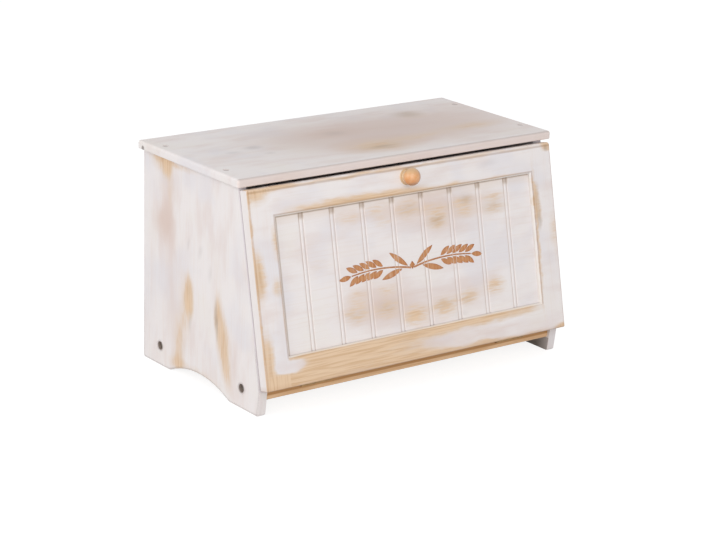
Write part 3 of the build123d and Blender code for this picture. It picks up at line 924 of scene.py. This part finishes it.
def make_carved_panel(panel_material, carving_material):
    """The door's beaded panel with the sprig carved in it."""
    panel = welded_copy("door_carved_panel", nodes["door_bead_panel"])
    panel.data.materials.append(panel_material)
    mesh = carving_cutter()
    mesh.materials.append(carving_material)
    cutter = bpy.data.objects.new("carving_cutter", mesh)
    bpy.context.scene.collection.objects.link(cutter)
    cut = panel.modifiers.new("carve", "BOOLEAN")
    cut.operation = "DIFFERENCE"
    cut.object = cutter
    cut.solver = "EXACT"
    cut.use_self = True
    cut.material_mode = "TRANSFER"
    bpy.context.view_layer.update()
    evaluated = panel.evaluated_get(bpy.context.evaluated_depsgraph_get())
    carved = bpy.data.meshes.new_from_object(evaluated)
    panel.modifiers.clear()
    panel.data = carved
    carved.shade_smooth()
    carved.set_sharp_from_angle(angle=radians(25))
    bpy.data.objects.remove(cutter)
    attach(panel, "door")
    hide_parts("door_bead_panel")


def make_materials():
    """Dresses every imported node."""
    left = whitewash(
        "whitewash_left_side",
        "side",
        1,
        1,
        side_worn,
        side_rosy,
        side_smudges,
        line=0.45,
        extra=side_marks,
    )
    right = whitewash(
        "whitewash_right_side", "side", 1, 7, other_side_worn, other_side_rosy, extra=side_marks
    )
    top = whitewash("whitewash_top", "top", 0, 2, top_worn, top_rosy_and_shade, top_smudges_and_shade, extra=top_marks)
    back = whitewash("whitewash_back", "upright", 0, 3, back_worn, back_rosy)
    stiles = whitewash(
        "whitewash_stiles", "door", 1, 4, door_worn, door_rosy, door_smudges, extra=door_marks
    )
    rails = whitewash(
        "whitewash_rails", "door", 0, 4, door_worn, door_rosy, door_smudges, extra=door_marks
    )
    panel = whitewash(
        "whitewash_panel",
        "door",
        0,
        9,
        panel_worn,
        panel_rosy,
        panel_smudges,
        wear=0.1,
        line=0.0,
        streaky=0.5,
        extra=panel_marks,
    )
    plugs = whitewash("whitewash_plugs", "top", 0, 11, smudges_and_shade=[((0, 0), (900, 900), 0.55)])
    bottom = bare_wood("bare_pine_board", "top", 0, 12, board_tint, board_marks)
    black = metal("dark_screws", screw_steel, 0.45, 4.0)
    dress(left, "left_side_panel")
    dress(right, "right_side_panel")
    dress(top, "top_board")
    dress(back, "back_panel")
    dress(stiles, "door_left_stile", "door_right_stile")
    dress(rails, "door_top_rail", "door_bottom_rail")
    dress(panel, "door_bead_panel")
    dress(plugs, "top_board_plugs")
    dress(bottom, "bottom_board")
    dress(turned_wood(), "door_knob")
    dress(black, "bottom_board_screws", "top_board_screws", "knob_screw")
    dress(metal("nail_heads", nail_steel, 0.4, 3.0), "back_panel_brads")
    brass = metal("dull_brass", brass_brown, 0.38, 6.0)
    dress(brass, "hinge_board_screws", "hinge_door_screws")
    for side in ("left", "right"):
        dress(brass, f"{side}_hinge_fixed_leaf", f"{side}_hinge_moving_leaf", f"{side}_hinge_pin")
    make_carved_panel(panel, carved_wood())


def direct_rays(tree):
    """One for the rays that come from the camera, also by way of gloss or glass."""
    path = add(tree, "ShaderNodeLightPath")
    rays = calc(tree, "ADD", path.outputs["Is Camera Ray"], path.outputs["Is Glossy Ray"], clamp=True)
    return calc(tree, "ADD", rays, path.outputs["Is Transmission Ray"], clamp=True)


def make_floor():
    """A pale floor that reads as white to the camera and keeps the shadow."""
    mesh = bpy.data.meshes.new("floor")
    turns = [2 * pi * i / floor_corners for i in range(floor_corners)]
    corners = [(floor_radius * cos(turn), floor_radius * sin(turn), 0.0) for turn in turns]
    mesh.from_pydata(corners, [], [list(range(floor_corners))])
    floor = bpy.data.objects.new("floor", mesh)
    bpy.context.scene.collection.objects.link(floor)
    material = new_material("pale_floor")
    tree = material.node_tree
    lit = add(tree, "ShaderNodeBsdfDiffuse", {"Color": (floor_grey, floor_grey, floor_grey, 1)})
    shaded = add(tree, "ShaderNodeBsdfDiffuse", {"Color": (floor_shade, floor_shade, floor_shade, 1)})
    glow = add(tree, "ShaderNodeEmission", {"Color": (1, 1, 1, 1), "Strength": floor_glow})
    white = add(tree, "ShaderNodeAddShader", {0: shaded.outputs[0], 1: glow.outputs[0]})
    viewed = direct_rays(tree)
    chosen = add(tree, "ShaderNodeMixShader", {0: viewed, 1: lit.outputs[0], 2: white.outputs[0]})
    tree.links.new(chosen.outputs[0], add(tree, "ShaderNodeOutputMaterial").inputs[0])
    floor.data.materials.append(material)


def make_world():
    """Even light from all round, and a white background for the camera."""
    world = bpy.data.worlds.new("studio")
    bpy.context.scene.world = world
    world.use_nodes = True
    tree = world.node_tree
    tree.nodes.clear()
    light = add(tree, "ShaderNodeBackground", {"Color": (1, 1, 1, 1), "Strength": world_light})
    white = add(tree, "ShaderNodeBackground", {"Color": (1, 1, 1, 1), "Strength": 1.0})
    viewed = direct_rays(tree)
    chosen = add(tree, "ShaderNodeMixShader", {0: viewed, 1: light.outputs[0], 2: white.outputs[0]})
    tree.links.new(chosen.outputs[0], add(tree, "ShaderNodeOutputWorld").inputs[0])


def make_lamp(name, place, size, power):
    """A soft square lamp at a place, pointed at the box."""
    data = bpy.data.lights.new(name, "AREA")
    data.size = size
    data.energy = power
    lamp = bpy.data.objects.new(name, data)
    lamp.location = place
    direction = Vector(lamp_aim) - Vector(place)
    lamp.rotation_euler = direction.to_track_quat("-Z", "Y").to_euler()
    bpy.context.scene.collection.objects.link(lamp)


def make_camera():
    """The camera, where the photograph was taken from."""
    data = bpy.data.cameras.new("camera")
    data.lens = lens_mm
    data.sensor_width = sensor_mm
    data.clip_start = 0.05
    camera = bpy.data.objects.new("camera", data)
    ahead = Vector(
        (
            sin(camera_yaw) * cos(camera_pitch),
            cos(camera_yaw) * cos(camera_pitch),
            -sin(camera_pitch),
        )
    )
    sideways = Vector((cos(camera_yaw), -sin(camera_yaw), 0))
    upright = sideways.cross(ahead)
    right = cos(camera_roll) * sideways + sin(camera_roll) * upright
    above = cos(camera_roll) * upright - sin(camera_roll) * sideways
    turned = Matrix((right, above, -ahead)).transposed()
    camera.matrix_world = Matrix.Translation(camera_place) @ turned.to_4x4()
    bpy.context.scene.collection.objects.link(camera)
    bpy.context.scene.camera = camera


make_camera()
make_floor()
make_world()
for lamp_name, lamp in lamps.items():
    make_lamp(lamp_name, *lamp)
bpy.context.scene.view_settings.view_transform = "Standard"
make_materials()
